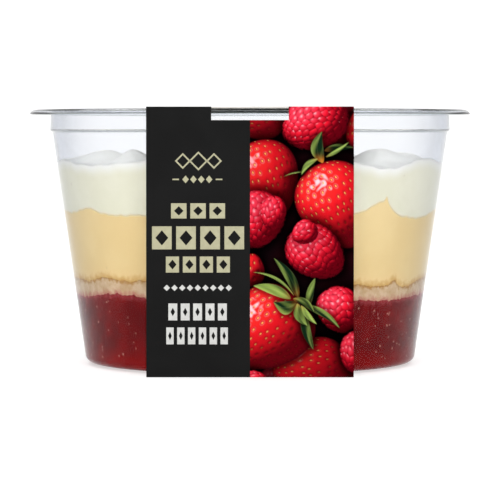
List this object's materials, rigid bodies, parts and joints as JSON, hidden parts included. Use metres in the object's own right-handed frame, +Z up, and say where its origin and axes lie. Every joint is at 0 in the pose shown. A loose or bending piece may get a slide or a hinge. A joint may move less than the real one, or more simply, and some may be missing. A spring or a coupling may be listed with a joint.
{
  "type": "layered trifle in a clear pot",
  "caption": "Layered berry trifle of cream, custard, sponge and compote in a round clear tapered pot with a film lid and a printed card sleeve band.",
  "frame": {"origin": "centre of the underside of the card sleeve, on the pot's axis, at the surface the pack stands on", "axes": "+Z up along the pot's axis, -Y towards the front panel of the sleeve, +X to the right seen from the front"},
  "size_m": [0.136, 0.136, 0.0795],
  "materials": {
    "clear_pot": "gloss",
    "clear_film": "gloss",
    "cream": "satin",
    "custard": "satin",
    "sponge": "matte",
    "compote": "gloss",
    "printed_card": "satin"
  },
  "bodies": {
    "root": {"pot": "clear_pot", "film_lid": "clear_film", "cream": "cream", "custard": "custard", "sponge": "sponge", "compote": "compote", "sleeve": "printed_card"}
  },
  "joints": []
}
